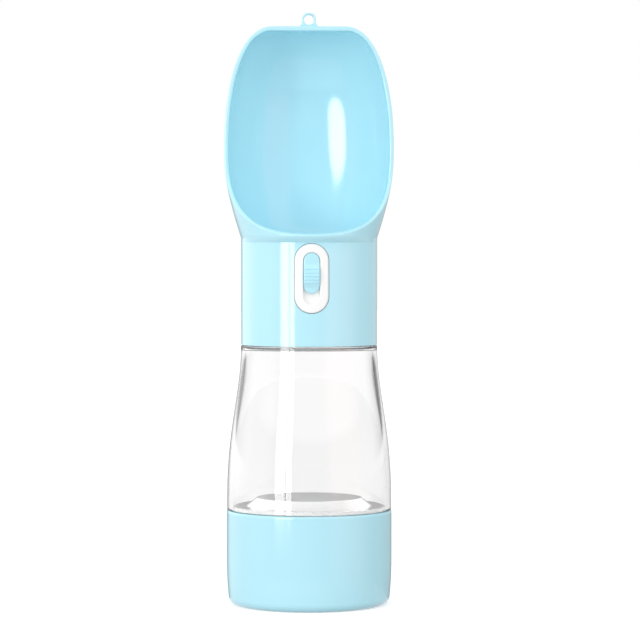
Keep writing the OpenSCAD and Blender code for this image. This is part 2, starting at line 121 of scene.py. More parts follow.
def piece(name, grids, body, stands_for, material, sharp=40.0):
    """One closed mesh from grids of points in millimetres. A grid is (points, closed):
    points has rows, columns and x, y, z. Coinciding points are merged, normals are turned
    outwards, and edges that turn by more than the sharp angle stay crisp."""
    points, faces, start = [], [], 0
    for grid, closed in grids:
        rows, columns = grid.shape[:2]
        faces.append(grid_faces(rows, columns, start, closed))
        points.append(grid.reshape(-1, 3))
        start += rows * columns
    points = np.concatenate(points)
    faces = np.concatenate(faces)
    # merge points that lie within a tenth of a micrometre
    _, first, index = np.unique(
        np.round(points * 1e4).astype(np.int64), axis=0, return_index=True, return_inverse=True
    )
    points, faces = points[first], index.reshape(-1)[faces]
    # a face at a pole has lost a corner: keep it as a triangle
    same = faces == np.roll(faces, -1, axis=1)
    quads = faces[~same.any(axis=1)]
    broken = faces[same.sum(axis=1) == 1]
    corner = same[same.sum(axis=1) == 1].argmax(axis=1)
    order = (corner[:, None] + np.arange(1, 4)) % 4
    triangles = np.take_along_axis(broken, order, axis=1)
    mesh = bpy.data.meshes.new(name)
    mesh.from_pydata((points * MM).tolist(), [], quads.tolist() + triangles.tolist())
    shell = bmesh.new()
    shell.from_mesh(mesh)
    bmesh.ops.recalc_face_normals(shell, faces=shell.faces)
    gaps = sum(1 for edge in shell.edges if len(edge.link_faces) != 2)
    volume = shell.calc_volume(signed=True) * 1e9
    shell.to_mesh(mesh)
    shell.free()
    mesh.polygons.foreach_set("use_smooth", np.ones(len(mesh.polygons), bool))
    mesh.set_sharp_from_angle(angle=math.radians(sharp))
    mesh.materials.append(material)
    obj = bpy.data.objects.new(name, mesh)
    scene.collection.objects.link(obj)
    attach(obj, body)
    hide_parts(*stands_for)
    print(f"{name}: {len(mesh.polygons)} faces, {gaps} open edges, {volume:.0f} mm3")
    return obj


def turned(profile, columns=192, radius_change=None):
    """A profile of (radius, height) turned round Z. radius_change(angle, height, radius)
    is added to the radius, for threads and other relief."""
    profile = np.asarray(profile, float)
    angle = np.linspace(0, 2 * math.pi, columns, endpoint=False)
    r = np.repeat(profile[:, :1], columns, axis=1)
    z = np.repeat(profile[:, 1:], columns, axis=1)
    if radius_change is not None:
        r = r + radius_change(angle[None, :], z, r)
    return np.stack([r * np.cos(angle), r * np.sin(angle), z], axis=-1)


def line(start, end, steps):
    """Points from start up to, and without, end."""
    t = np.arange(steps)[:, None] / steps
    return np.asarray(start, float) * (1 - t) + np.asarray(end, float) * t


def arc(centre, radius, from_deg, to_deg, steps):
    """Points on a circle arc of the profile plane, both ends included."""
    a = np.radians(np.linspace(from_deg, to_deg, steps + 1))
    return np.stack([centre[0] + radius * np.cos(a), centre[1] + radius * np.sin(a)], axis=1)


# %% Thread relief
LEAD, STARTS = 8.0, 2
RIDGE_ROOT, RIDGE_CREST, RIDGE_DEPTH = 1.6, 0.9, 0.9


def thread_height(angle, z, z0, turns):
    """Height of the screw ridges at each point: full within half a crest of the helix,
    falling to nothing half a root away, and fading in and out at the ends."""
    height = np.zeros(np.broadcast(angle, z).shape)
    for k in range(STARTS):
        phi = np.mod(angle - 2 * math.pi * k / STARTS, 2 * math.pi) / (2 * math.pi)
        away = np.abs(z - z0 - LEAD * phi)
        flank = np.clip((RIDGE_ROOT / 2 - away) / ((RIDGE_ROOT - RIDGE_CREST) / 2), 0, 1)
        fade = np.clip(np.minimum(phi, turns - phi) / 0.075, 0, 1)
        height = np.maximum(height, flank * fade)
    return RIDGE_DEPTH * height


# %% [markdown]
# ## Materials
# The blue parts and the white parts are moulded ABS, polished in the mould. A moulding
# isn't a perfect mirror: the skin has a faint orange peel, a few tenths of a millimetre
# across, and its gloss varies a little where it is handled. Both are noise patterns in
# object space, scaled from those real sizes.

# %% Material helpers


def srgb(text):
    """A hex colour as linear light: each channel is raised to about 2.4."""
    c = np.array([int(text[i : i + 2], 16) for i in (1, 3, 5)]) / 255.0
    return (*np.where(c <= 0.04045, c / 12.92, ((c + 0.055) / 1.055) ** 2.4).tolist(), 1.0)


def node(tree, kind, settings=(), links=()):
    """Adds a node, sets its sockets and properties by name, and links its inputs."""
    n = tree.nodes.new(kind)
    for key, value in dict(settings).items():
        if key in n.inputs:
            n.inputs[key].default_value = value
        else:
            setattr(n, key, value)
    for key, source in dict(links).items():
        tree.links.new(source, n.inputs[key])
    return n


# Sockets of a mix node, which has a set for each kind of data: the factor, then the two
# inputs and the output for colours, and the two inputs for plain numbers.
MIX_FACTOR, COLOUR_A, COLOUR_B, COLOUR_OUT, NUMBER_A, NUMBER_B = 0, 6, 7, 2, 2, 3
PEEL_DEPTH = 0.0002  # metres


def per_mm(size_mm):
    """Noise scale for features of about that size: object coordinates are metres."""
    return 1000.0 / size_mm


def moulded(name, colour, deep, roughness, peel_mm=0.9, peel=0.03, mottle_mm=14.0, **shader):
    """A moulded plastic: mottled between two close colours, with an orange peel bump and a
    gloss that varies by a few hundredths."""
    material = bpy.data.materials.new(name)
    material.use_nodes = True
    tree = material.node_tree
    tree.nodes.clear()
    place = node(tree, "ShaderNodeTexCoord").outputs["Object"]
    cloud = node(
        tree,
        "ShaderNodeTexNoise",
        {"Scale": per_mm(mottle_mm), "Detail": 3.0, "Roughness": 0.5},
        {"Vector": place},
    ).outputs["Fac"]
    tint = node(tree, "ShaderNodeMix", {"data_type": "RGBA"})
    tint.inputs[COLOUR_A].default_value = srgb(colour)
    tint.inputs[COLOUR_B].default_value = srgb(deep)
    tree.links.new(cloud, tint.inputs[MIX_FACTOR])
    gloss = node(
        tree,
        "ShaderNodeMapRange",
        {
            "From Min": 0.3, "From Max": 0.7,
            "To Min": roughness * 0.85, "To Max": roughness * 1.15,
        },
        {"Value": cloud},
    ).outputs["Result"]
    grain = node(
        tree,
        "ShaderNodeTexNoise",
        {"Scale": per_mm(peel_mm), "Detail": 2.0, "Roughness": 0.4},
        {"Vector": place},
    ).outputs["Fac"]
    bump = node(
        tree,
        "ShaderNodeBump",
        {"Strength": peel, "Distance": PEEL_DEPTH},
        {"Height": grain},
    ).outputs["Normal"]
    bsdf = node(
        tree,
        "ShaderNodeBsdfPrincipled",
        shader,
        {"Base Color": tint.outputs[COLOUR_OUT], "Roughness": gloss, "Normal": bump},
    )
    out = node(tree, "ShaderNodeOutputMaterial", {}, {"Surface": bsdf.outputs[0]})
    out.is_active_output = True
    return material


# %% Materials
# Pale blue ABS: clean, bright and glossy, with soft-edged reflections.
blue_abs = moulded("blue_abs_polished", "#BDEFFC", "#BBEDFA", 0.12, **{"IOR": 1.53})
# White ABS: the button, and the valve parts inside.
white_abs = moulded("white_abs_polished", "#FDFDFC", "#FBFBFA", 0.2, **{"IOR": 1.53})
# Clear copolyester: colourless, so only its edges and reflections show.
clear_plastic = moulded(
    "clear_copolyester", "#FFFFFF", "#FEFEFE", 0.015, peel_mm=6.0, peel=0.02,
    **{"IOR": 1.5, "Transmission Weight": 1.0},
)
# Natural polypropylene: milky; light scatters inside the real moulding, but this shader is
# opaque and has no scattering.
milky_pp = moulded(
    "natural_polypropylene", "#F8F8F8", "#F5F5F5", 0.12, **{"IOR": 1.49},
)
# Silicone rubber: whitish and matt, as it comes from the mould.
silicone = moulded("white_silicone", "#DDE2E4", "#D6DCDF", 0.5, **{"IOR": 1.41})
# Drawn stainless wire and screws: bright. The real wire has fine marks along the draw; the
# bump here is a fine grain, the same in every direction.
steel = moulded(
    "drawn_stainless_steel", "#C4C5C7", "#B4B5B8", 0.28, peel_mm=0.3, **{"Metallic": 1.0},
)

FINISHES = {
    "blue_abs": blue_abs, "white_abs": white_abs, "clear_body": clear_plastic,
    "milky_floor": milky_pp, "silicone": silicone, "steel": steel,
}
for subpart in frame["record"]["subparts"]:
    cad = frame["nodes"][subpart["node"]]
    cad.data.materials.clear()
    cad.data.materials.append(FINISHES[subpart["material_slot"]])

# %% [markdown]
# ## The food cup
# A plain drum with a rounded lower edge, screwed on from below. It is turned from one
# profile: up the outside, over the rim, down past the thread and across the floor. The
# outside swells very slightly, so its highlight isn't a ruler-straight line.

# %% Food cup
CUP_R, CUP_H, CUP_WALL = 36.3, 41.6, 2.5
CUP_IN_R = CUP_R - CUP_WALL
SKIRT_R, SKIRT_Z, CUP_TURNS = CUP_IN_R - 1.4, CUP_H - 10.6, 0.6
SKIRT_THREAD_Z = SKIRT_Z + 1.6
CUP_THREAD_Z = SKIRT_THREAD_Z + 1.4
TAPER, TAPER_Z, TAPER_SPAN = 0.8, 20, 16
FOOT_RING_R, FOOT_RECESS, CUP_CORNER = 25, 1.2, 4
CUP_FLOOR_Z, CUP_FILLET, DRAFT, DRAFT_Z = 3.4, 5, 0.8, 22
POLE_R = 4  # the first ring round the middle of a flat face
EDGE_R = 0.5  # the rounding of a moulding's free edges


def cup_outer(z):
    """Outer radius: full, less the taper times the square of the drop below its start
    over its span."""
    return CUP_R - TAPER * (np.maximum(0, TAPER_Z - z) / TAPER_SPAN) ** 2


z_wall = np.linspace(CUP_CORNER, CUP_H - 0.6, 60)
edge_r = cup_outer(float(CUP_CORNER))
fillet_z = CUP_FLOOR_Z + CUP_FILLET
cup_profile = np.concatenate([
    # the recess, the foot ring and the rounded lower edge
    [[0, FOOT_RECESS]],
    line((POLE_R, FOOT_RECESS), (FOOT_RING_R - 1, FOOT_RECESS), 6),
    line((FOOT_RING_R - 1, FOOT_RECESS), (FOOT_RING_R, 0), 3),
    line((FOOT_RING_R, 0), (edge_r - CUP_CORNER, 0), 4),
    arc((edge_r - CUP_CORNER, CUP_CORNER), CUP_CORNER, -90, 0, 14)[:-1],
    # the outside and the rim
    np.stack([cup_outer(z_wall), z_wall], axis=1),
    arc((CUP_R - 0.6, CUP_H - EDGE_R), EDGE_R, 12, 90, 5),
    line((CUP_R - 1.0, CUP_H), (CUP_IN_R + 0.6, CUP_H), 3),
    arc((CUP_IN_R + EDGE_R, CUP_H - EDGE_R), EDGE_R, 90, 180, 5),
    # past the thread, down the drafted wall and across the floor
    line((CUP_IN_R, CUP_H - 0.8), (CUP_IN_R, CUP_THREAD_Z - 1), 44),
    line((CUP_IN_R, CUP_THREAD_Z - 1), (CUP_IN_R, DRAFT_Z), 6),
    line((CUP_IN_R, DRAFT_Z), (CUP_IN_R - DRAFT, fillet_z), 8),
    arc((CUP_IN_R - (DRAFT + CUP_FILLET), fillet_z), CUP_FILLET, 0, -90, 10),
    line((CUP_IN_R - 6.5, CUP_FLOOR_Z), (POLE_R, CUP_FLOOR_Z), 6),
    [[0, CUP_FLOOR_Z]],
])


def cup_relief(angle, z, r):
    """The inner wall's ridges stand inwards."""
    inside = (np.abs(r - CUP_IN_R) < 0.02) & (z > 25)
    return -1.0 * inside * thread_height(angle, z, CUP_THREAD_Z, CUP_TURNS)


piece(
    "cup_skin", [(turned(cup_profile, 256, cup_relief), True)],
    "food_cup", ["food_cup", "cup_floor"], blue_abs,
)

# %% [markdown]
# ## The reservoir
# The clear wall is an S-curve in side view, turned round the axis, with a true thickness:
# glass and clear plastic only look right when light goes in through one face and out
# through the other. Its floor is a second, milky moulding with a raised plateau, welded in
# at the foot. The weld leaves a scalloped line that shows through the wall.

# %% Reservoir wall
RES_BASE_R, RES_TOP_R, RES_TOP_Z, RES_WALL = 36.1, 29.95, 113.9, 2.2
MOUTH_R, MOUTH_Z, MOUTH_TURNS = 25.0, 122.5, 0.5
MOUTH_THREAD_Z = RES_TOP_Z + 3.4
NECK_BORE_R = 27.7
FLOOR_Z = CUP_H + 0.3
FLOOR_TOP_Z = FLOOR_Z + 1.5
FOOT_Z, WAIST_POWER = 44, 1.25  # the straight foot ends there


def res_outer(z):
    """Half a cosine wave from the foot's radius to the shoulder's, with its height
    raised to a power over one, which moves the narrowing up."""
    u = np.clip((z - FOOT_Z) / (RES_TOP_Z - (FOOT_Z - 0.1)), 0, 1)
    wave = (1 + np.cos(math.pi * u**WAIST_POWER)) / 2
    return RES_TOP_R + (RES_BASE_R - RES_TOP_R) * wave


z_up = np.linspace(FOOT_Z, RES_TOP_Z - EDGE_R, 120)
z_down = np.linspace(RES_TOP_Z - 1.6, FOOT_Z, 110)
shoulder_z = RES_TOP_Z - 0.3
step_r, step_z = NECK_BORE_R - 0.1, RES_TOP_Z + 1
wall_profile = np.concatenate([
    # the foot and the outside
    line((RES_BASE_R - RES_WALL, FLOOR_Z), (RES_BASE_R - 0.2, FLOOR_Z), 4),
    line((RES_BASE_R, FLOOR_Z + 0.2), (RES_BASE_R, FOOT_Z), 4),
    np.stack([res_outer(z_up), z_up], axis=1),
    # the shoulder and its step
    arc((RES_TOP_R - EDGE_R, RES_TOP_Z - EDGE_R), EDGE_R, 10, 90, 5),
    line((RES_TOP_R - 0.8, RES_TOP_Z), (step_r, RES_TOP_Z), 3),
    line((step_r, RES_TOP_Z), (step_r, step_z), 3),
    line((step_r, step_z), (MOUTH_R + 0.3, step_z), 3),
    # the mouth, outside, rim and inside
    line((MOUTH_R, RES_TOP_Z + 1.3), (MOUTH_R, MOUTH_Z - EDGE_R), 48),
    arc((MOUTH_R - EDGE_R, MOUTH_Z - EDGE_R), EDGE_R, 0, 90, 4),
    arc((MOUTH_R - 2.0, MOUTH_Z - EDGE_R), EDGE_R, 90, 180, 4),
    line((MOUTH_R - 2.5, MOUTH_Z - 0.8), (MOUTH_R - 2.5, shoulder_z + 0.6), 8),
    arc((MOUTH_R - 1.9, shoulder_z + 0.6), 0.6, 180, 270, 5)[:-1],
    # under the shoulder and down the inside
    line((MOUTH_R - 1.9, shoulder_z), (RES_TOP_R - RES_WALL - 1.2, shoulder_z), 3),
    arc((RES_TOP_R - RES_WALL - 1.2, shoulder_z - 1.2), 1.2, 90, 0, 6)[:-1],
    np.stack([res_outer(z_down) - RES_WALL, z_down], axis=1),
    line((RES_BASE_R - RES_WALL, 43.8), (RES_BASE_R - RES_WALL, FLOOR_Z + 0.01), 3),
])


def mouth_relief(angle, z, r):
    """The mouth's ridges stand outwards."""
    outside = (np.abs(r - MOUTH_R) < 0.02) & (z > RES_TOP_Z)
    return outside * thread_height(angle, z, MOUTH_THREAD_Z, MOUTH_TURNS)


wall_grid = turned(np.concatenate([wall_profile, wall_profile[:1]]), 256, mouth_relief)
piece(
    "reservoir_skin", [(wall_grid, True)],
    "reservoir", ["reservoir_wall"], clear_plastic,
)

# %% Reservoir floor and threaded skirt
PLATEAU_R, PLATEAU_H = 27.6, 3.6
TOP_R = PLATEAU_R - 4.1
FLANGE_R = RES_BASE_R - RES_WALL - 0.05
SKIRT_TOP_Z = FLOOR_Z - 0.5
SKIRT_WALL, FLOOR_WALL = 2.2, 2
plateau_z = FLOOR_TOP_Z + PLATEAU_H
hollow_z = plateau_z - FLOOR_WALL
SCALLOPS, SCALLOP_MM = 60, 0.35

floor_profile = np.concatenate([
    # the hollow under the plateau
    [[0, hollow_z]],
    line((POLE_R, hollow_z), (TOP_R - 1, hollow_z), 5),
    line((TOP_R - 1, hollow_z), (PLATEAU_R - 1, SKIRT_TOP_Z), 8),
    line((PLATEAU_R - 1, SKIRT_TOP_Z), (SKIRT_R - SKIRT_WALL, SKIRT_TOP_Z), 3),
    # the skirt, inside, lower edge and outside
    line((SKIRT_R - SKIRT_WALL, SKIRT_TOP_Z), (SKIRT_R - SKIRT_WALL, SKIRT_Z + 0.3), 8),
    arc((SKIRT_R - 1.9, SKIRT_Z + 0.3), 0.3, 180, 270, 3),
    arc((SKIRT_R - EDGE_R, SKIRT_Z + EDGE_R), EDGE_R, -90, 0, 4),
    line((SKIRT_R, SKIRT_Z + 0.7), (SKIRT_R, FLOOR_Z), 44),
    # the flange that is welded to the wall
    line((SKIRT_R, FLOOR_Z), (FLANGE_R, FLOOR_Z), 3),
    line((FLANGE_R, FLOOR_Z), (FLANGE_R, FLOOR_TOP_Z - 0.3), 4),
    line((FLANGE_R, FLOOR_TOP_Z - 0.3), (FLANGE_R - 0.4, FLOOR_TOP_Z), 3),
    line((FLANGE_R - 0.4, FLOOR_TOP_Z), (PLATEAU_R + 0.3, FLOOR_TOP_Z), 8),
    # the plateau's slope and top
    line((PLATEAU_R, FLOOR_TOP_Z + 0.1), (TOP_R, plateau_z - 0.5), 10),
    arc((TOP_R - 0.6, plateau_z - 0.6), 0.6, 40, 90, 5),
    line((TOP_R - 1, plateau_z), (POLE_R, plateau_z), 6),
    [[0, plateau_z]],
])


def skirt_relief(angle, z, r):
    """Ridges on the skirt, and scallops along the flange's rim: half waves of the angle."""
    skirt = (np.abs(r - SKIRT_R) < 0.02) & (z < SKIRT_TOP_Z)
    rim = (r > FLANGE_R - 0.2) & (z > FLOOR_Z + 0.3)
    waves = np.abs(np.sin(angle * SCALLOPS / 2)) - 1
    ridges = skirt * thread_height(angle, z, SKIRT_THREAD_Z, CUP_TURNS)
    return ridges + rim * SCALLOP_MM * waves


piece(
    "floor_skin", [(turned(floor_profile, 480, skirt_relief), True)],
    "reservoir", ["reservoir_floor", "thread_skirt"], milky_pp, sharp=30.0,
)

# %% [markdown]
# ## The head: neck and scoop
# The scoop and the neck are one moulding. Seen from above, each level is half an ellipse
# behind the axis and half of another in front. The rim is where a curved cut, a quarter
# of a rounded diamond in side view, meets those levels. The cut is solved for each column
# of the grid, so the rim is a row of points and not a ragged edge, and it gets a rounded
# crown.

# %% Scoop formulas
NECK_R, NECK_WALL, NECK_Z = 29.9, 2.2, RES_TOP_Z + 0.3
NECK_IN_R = NECK_R - NECK_WALL
HALF_W, TOP_HALF_W, BACK_D, TOP_D, TOP_Z = 37.3, 15.5, 34.4, 9.0, 254.0
BOWL_WALL, LIP_OUT, LIP_Z0, LIP_Z = 1.8, 3.1, 159.0, 162.2
SWELL_Z, SIDE_Z, BACK_Z, TURN_Z = 161.0, 198.0, 208.0, 190.0
CEILING_Z, FLOOR_IN_Z, HOLLOW_TOP_Z = 157.6, 159.6, 252.0
REACH = NECK_R + LIP_OUT
CROWN, RIM_POWER = 0.55, 1.38
FLOOR_FILLET, TOP_FILLET, FILLET_IN, TOP_FILLET_IN = 8.4, 6, 8, 3
VALVE_Y, OUTLET_R = 4.0, 5.0


def swell(z, top):
    """A quarter sine from where the bowl starts to swell up to its widest level."""
    return np.sin(math.pi / 2 * np.clip((z - SWELL_Z) / (top - SWELL_Z), 0, 1))


def close_up(z, start, p, q):
    """One at start, falling to nothing at the top: (1 - t to the p) to the q."""
    t = np.clip((z - start) / (TOP_Z - start), 0, 1)
    return (1 - t**p) ** q


def half_w(z):
    """Half of the bowl's width at height z."""
    low = NECK_R + (HALF_W - NECK_R) * swell(z, SIDE_Z)
    high = TOP_HALF_W + (HALF_W - TOP_HALF_W) * close_up(z, SIDE_Z + 2, 2.2, 0.45)
    return np.where(z < SIDE_Z + 2, low, high)


def back_d(z):
    """Depth behind the axis at height z."""
    low = NECK_R + (BACK_D - NECK_R) * swell(z, BACK_Z)
    high = TOP_D + (BACK_D - TOP_D) * close_up(z, BACK_Z, 3.0, 0.5)
    return np.where(z < BACK_Z, low, high)


def front_d(z):
    """Depth in front of the axis: the neck's, with the lip standing proud of it."""
    up = np.clip((z - LIP_Z0) / (LIP_Z - LIP_Z0), 0, 1)
    return NECK_R + LIP_OUT * np.sin(math.pi / 2 * up)


def hollow_inset(z):
    """How far the hollow lies inside the skin: the wall, and fillets at floor and top."""
    f = np.clip((FLOOR_IN_Z + FLOOR_FILLET - z) / FLOOR_FILLET, 0, 1)
    g = np.clip((z - HOLLOW_TOP_Z + TOP_FILLET) / TOP_FILLET, 0, 1)
    low, high = 1 - np.sqrt(1 - f**2), 1 - np.sqrt(1 - g**2)
    return BOWL_WALL + FILLET_IN * low + TOP_FILLET_IN * high


def no_inset(z):
    """The outer skin itself."""
    return np.zeros_like(z)


def at(t, z, inset):
    """The point at angle t (zero at the right side, a quarter turn at the back)."""
    drop = inset(z)
    depth = np.where(np.sin(t) > 0, back_d(z), front_d(z)) - drop
    return np.stack([(half_w(z) - drop) * np.cos(t), depth * np.sin(t), z], axis=-1)


# %% The rim, solved
FRONT_COLUMNS, BACK_COLUMNS, SIDE_ROWS, CAP_ROWS = 80, 120, 70, 10


def cut_normal(a):
    """Side view (y, z) of the cut's normal, pointing out of the material."""
    s, c = np.sin(a), np.maximum(np.cos(a), 0)
    along_y = REACH * s ** (RIM_POWER - 1) * c
    along_z = (TURN_Z - LIP_Z) * c ** (RIM_POWER - 1) * s
    size = np.maximum(np.hypot(along_y, along_z), 1e-12)
    return -along_z / size, along_y / size


def cut_line(a):
    """Side view (y, z) of the cut at parameter a from 0 at the lip to a quarter turn,
    moved into the material by the crown's height along its normal."""
    s, c, rise = np.sin(a), np.maximum(np.cos(a), 0), TURN_Z - LIP_Z
    n_y, n_z = cut_normal(a)
    y = -REACH * (1 - s**RIM_POWER) - CROWN * n_y
    return y, TURN_Z - rise * c**RIM_POWER - CROWN * n_z


def rim_columns(inset):
    """Angles and heights of the rim on one wall, from the lip's middle to the right side.
    The first parameter is where the cut just touches the front; steps grow as squares."""
    low, high = 0.0, 0.5
    for _ in range(60):
        middle = (low + high) / 2
        y, z = cut_line(np.array(middle))
        outside = -y > front_d(z) - inset(z)
        low, high = (middle, high) if outside else (low, middle)
    u = np.linspace(0, 1, FRONT_COLUMNS + 1)
    y, z = cut_line(high + (math.pi / 2 - high) * u**2)
    depth = np.where(y > 0, back_d(z), front_d(z)) - inset(z)
    t = np.arcsin(np.clip(y / depth, -1, 1))
    t[0] = -math.pi / 2
    return t, z


def side_angle(z, inset):
    """Angle at which the upright part of the cut meets the wall, above the turn."""
    return np.arcsin(np.clip(CROWN / (back_d(z) - inset(z)), -1, 1))


def wall_grids(inset, low_z, top_z, rows, power, side_z):
    """The wall from low_z up to the rim: a closed ring grid below the turn, then the back
    half above it, then the flat top shrinking to the middle of its front edge."""
    t_rim, z_rim = rim_columns(inset)
    z_turn = z_rim[-1]
    back = np.linspace(t_rim[-1], math.pi - t_rim[-1], BACK_COLUMNS + 1)
    t_top = np.concatenate([t_rim, back[1:-1], (math.pi - t_rim)[::-1][:-1]])
    z_top = np.concatenate([z_rim, np.full(BACK_COLUMNS - 1, z_turn), z_rim[::-1][:-1]])
    even = np.concatenate([
        np.linspace(-math.pi / 2, t_rim[-1], FRONT_COLUMNS + 1), back[1:-1],
        np.linspace(math.pi - t_rim[-1], 1.5 * math.pi, FRONT_COLUMNS + 1)[:-1],
    ])
    v = np.linspace(0, 1, rows)[:, None]
    height = (z_top - low_z)[None, :]
    z = low_z + height * v ** power(height)
    lean = v**2 * (3 - 2 * v)
    ring = at(even * (1 - lean) + t_top * lean, z, inset)
    side = np.concatenate([[z_turn], side_z(z_turn)])
    t0 = side_angle(side, inset)
    share = np.linspace(0, 1, BACK_COLUMNS + 1)
    t = t0[:, None] + (math.pi - 2 * t0[:, None]) * share
    upper = at(t, np.repeat(side[:, None], BACK_COLUMNS + 1, axis=1), inset)
    upper[0] = ring[-1][FRONT_COLUMNS : FRONT_COLUMNS + BACK_COLUMNS + 1]
    shrink = np.linspace(1, 0, CAP_ROWS)[:, None, None]
    pole = np.array([0, CROWN, top_z])
    cap = pole + (upper[-1] - pole) * shrink
    right = np.concatenate([ring[-1][: FRONT_COLUMNS + 1], upper[1:, 0], cap[1:, 0]])
    left = np.concatenate([
        ring[-1][np.r_[0, -1 : -FRONT_COLUMNS - 1 : -1]], upper[1:, -1], cap[1:, -1],
    ])
    return ring, upper, cap, right, left


def outer_side(z_turn):
    """Levels above the turn, closer together where the sides close in."""
    phi = np.linspace(0, math.pi / 2, SIDE_ROWS - 8)
    return np.concatenate([
        np.linspace(z_turn, SIDE_Z + 2, 9)[1:-1],
        SIDE_Z + 2 + (TOP_Z - SIDE_Z - 2) * np.sin(phi) ** 0.909,
    ])


def inner_side(z_turn):
    """The same number of levels inside, close together in the top fillet."""
    chi = np.linspace(0, math.pi / 2, 16)
    return np.concatenate([
        np.linspace(z_turn, HOLLOW_TOP_Z - TOP_FILLET, SIDE_ROWS - 15)[1:],
        HOLLOW_TOP_Z - TOP_FILLET + TOP_FILLET * np.sin(chi)[1:],
    ])


def outer_power(height):
    """How rows crowd towards the bottom: evenly in a low column, more in a tall one."""
    return 1 + 0.9 * (1 - np.minimum(1, 3.4 / height))


def inner_power(height):
    """The same crowding in each column: the fillet at the floor needs it."""
    return 2.0 + 0 * height


outer = wall_grids(no_inset, LIP_Z0, TOP_Z, 34, outer_power, outer_side)
inner = wall_grids(hollow_inset, FLOOR_IN_Z, HOLLOW_TOP_Z, 48, inner_power, inner_side)


# %% The rim's crown
def crown(edge_out, edge_in, steps=10):
    """A rounded strip from the outer edge to the inner one: across by a flattened cosine,
    and out along the cut's normal by a flattened sine."""
    count = len(edge_out)
    a = np.concatenate([math.pi / 2 * np.linspace(0, 1, FRONT_COLUMNS + 1) ** 2,
                        np.full(count - FRONT_COLUMNS - 1, math.pi / 2)])
    n_y, n_z = cut_normal(a)
    n_z[0], n_y[0] = 1.0, 0.0
    normal = np.stack([np.zeros(count), n_y, n_z], axis=1)
    theta = np.linspace(0, math.pi, steps + 1)[:, None, None]
    across = (1 - np.sign(np.cos(theta)) * np.abs(np.cos(theta)) ** 0.75) / 2
    rise = CROWN * np.sin(theta) ** 0.7
    return edge_out * (1 - across) + edge_in * across + normal * rise


crown_right = crown(outer[3], inner[3])
crown_left = crown(outer[4], inner[4])

# %% [markdown]
# The neck below the lip is a plain tube with an oval hole for the button. The hole isn't
# cut by a boolean, which leaves long thin faces that shade badly. The grid leaves a
# rectangle open instead, and a patch of rings leads from the oval to that rectangle.

# %% The neck with its oval hole
BUTTON_W, BUTTON_H, BUTTON_Z, HOLE_GAP = 14.8, 30.0, 143.5, 0.18
NECK_ROWS, PATCH_COLUMNS, PATCH_ROW, PATCH_RINGS = 41, 19, 8, 9
# the scoop's columns, so that neck and scoop share their points
t_side = rim_columns(no_inset)[0][-1]
t_ring = np.concatenate([
    np.linspace(-math.pi / 2, t_side, FRONT_COLUMNS + 1),
    np.linspace(t_side, math.pi - t_side, BACK_COLUMNS + 1)[1:-1],
    np.linspace(math.pi - t_side, 1.5 * math.pi, FRONT_COLUMNS + 1)[:-1],
])


def oval(direction, width, height):
    """Where a ray from the centre meets a stadium: the flat side, or else the end circle."""
    c, s = np.cos(direction), np.sin(direction)
    r, h = width / 2, (height - width) / 2
    flat = r / np.maximum(np.abs(c), 1e-9)
    tip = h * np.abs(s) + np.sqrt(np.maximum(r**2 - (h * c) ** 2, 0))
    reach = np.where(np.abs(flat * s) <= h, flat, tip)
    return reach * c, reach * s


def tube_with_hole(radius):
    """The tube's grids: the ring with its front rectangle left out, the rows below the
    rectangle, and the patch."""
    v = np.linspace(0, 1, NECK_ROWS)[:, None]
    z = NECK_Z + v * (LIP_Z0 - NECK_Z) + 0 * t_ring
    x, y = radius * np.cos(t_ring) + 0 * z, radius * np.sin(t_ring) + 0 * z
    ring = np.stack([x, y, z], axis=-1)
    count = len(t_ring)
    around = np.arange(PATCH_COLUMNS, count - PATCH_COLUMNS + 1)
    front = np.r_[count - PATCH_COLUMNS : count, 0 : PATCH_COLUMNS + 1]
    below = ring[: PATCH_ROW + 1][:, front]
    box = np.concatenate([
        ring[PATCH_ROW, front], ring[PATCH_ROW:, front[-1]][1:],
        ring[-1, front[::-1]][1:], ring[PATCH_ROW:, front[0]][::-1][1:-1],
    ])
    flat_x = radius * np.arcsin(box[:, 0] / radius)
    direction = np.arctan2(box[:, 2] - BUTTON_Z, flat_x)
    x, dz = oval(direction, BUTTON_W + 2 * HOLE_GAP, BUTTON_H + 2 * HOLE_GAP)
    share = np.linspace(0, 1, PATCH_RINGS)[:, None] ** 1.3
    edge_x = radius * np.arcsin(x / radius)
    across = edge_x * (1 - share) + flat_x * share
    up = (BUTTON_Z + dz) * (1 - share) + box[:, 2] * share
    bend = across / radius
    patch = np.stack([radius * np.sin(bend), -radius * np.cos(bend), up], axis=-1)
    return ring[:, around], below, patch


out_ring, out_below, out_patch = tube_with_hole(NECK_R)
in_ring, in_below, in_patch = tube_with_hole(NECK_IN_R)


def between(start, end, count):
    """Rows between two rows, both included."""
    share = np.linspace(0, 1, count)[:, None, None]
    return start * (1 - share) + end * share


def circle(radius, z, y=0.0):
    """The ring of columns as a circle round (0, y) at height z."""
    x = radius * np.cos(t_ring)
    return np.stack([x, y + radius * np.sin(t_ring), 0 * t_ring + z], axis=-1)


piece(
    "neck_skin",
    [
        (out_ring, False), (out_below, False), (out_patch, True),
        (in_ring, False), (in_below, False), (in_patch, True),
        (between(out_patch[0], in_patch[0], 4), True),
        (between(circle(NECK_R, NECK_Z), circle(NECK_IN_R, NECK_Z), 4), True),
        (between(circle(NECK_R, LIP_Z0), circle(NECK_IN_R, LIP_Z0), 4), True),
    ],
    "head", ["neck_shell"], blue_abs,
)

